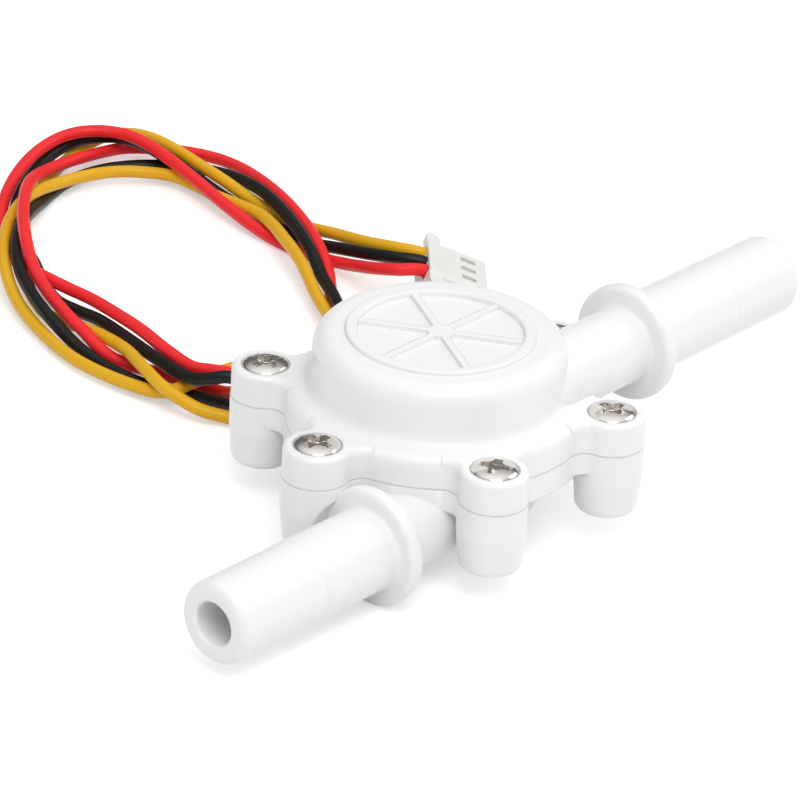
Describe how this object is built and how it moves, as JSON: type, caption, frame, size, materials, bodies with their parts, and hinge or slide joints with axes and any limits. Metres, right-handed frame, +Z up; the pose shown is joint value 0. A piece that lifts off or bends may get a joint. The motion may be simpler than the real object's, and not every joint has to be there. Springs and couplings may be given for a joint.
{
  "type": "water flow sensor",
  "caption": "Small moulded water flow sensor with a round rotor housing, two straight tube stems on one side and a three-wire lead with a plug.",
  "frame": {"origin": "on the rotor axis, at the underside of the bearing boss that the housing stands on", "axes": "+Z up along the rotor axis, +X from the inlet stem towards the outlet stem, +Y towards the wires"},
  "size_m": [0.0786, 0.0967, 0.0201],
  "materials": {
    "white_plastic": "satin moulded",
    "seal_rubber": "matte",
    "rotor_plastic": "satin",
    "magnet_ferrite": "ground ferrite",
    "shaft_steel": "ground",
    "washer_plastic": "satin",
    "screw_nickel": "nickel plated",
    "board_green": "solder mask",
    "chip_black": "moulded",
    "capacitor_tan": "matte",
    "resistor_black": "matte",
    "potting_resin": "cast",
    "connector_ivory": "satin moulded",
    "terminal_tin": "tin plated",
    "wire_red": "insulation",
    "wire_black": "insulation",
    "wire_yellow": "insulation"
  },
  "bodies": {
    "housing": {"base_housing": "white_plastic", "top_cover": "white_plastic", "seal_ring": "seal_rubber", "rotor_shaft": "shaft_steel", "lower_washer": "washer_plastic", "upper_washer": "washer_plastic", "cover_screw_1": "screw_nickel", "cover_screw_2": "screw_nickel", "cover_screw_3": "screw_nickel", "cover_screw_4": "screw_nickel", "cover_screw_5": "screw_nickel", "cover_screw_6": "screw_nickel", "sensor_board": "board_green", "sensor_chip": "chip_black", "board_capacitor": "capacitor_tan", "board_resistor": "resistor_black", "potting": "potting_resin", "connector_housing": "connector_ivory", "crimp_terminal_1": "terminal_tin", "crimp_terminal_2": "terminal_tin", "crimp_terminal_3": "terminal_tin", "wire_red": "wire_red", "wire_black": "wire_black", "wire_yellow": "wire_yellow"},
    "rotor": {"rotor": "rotor_plastic", "rotor_magnet": "magnet_ferrite"}
  },
  "joints": [
    {"name": "rotor_spin", "type": "hinge", "parent": "housing", "child": "rotor", "pos_m": [0, 0, 0.0105], "axis": [0, 0, 1], "continuous": true}
  ]
}
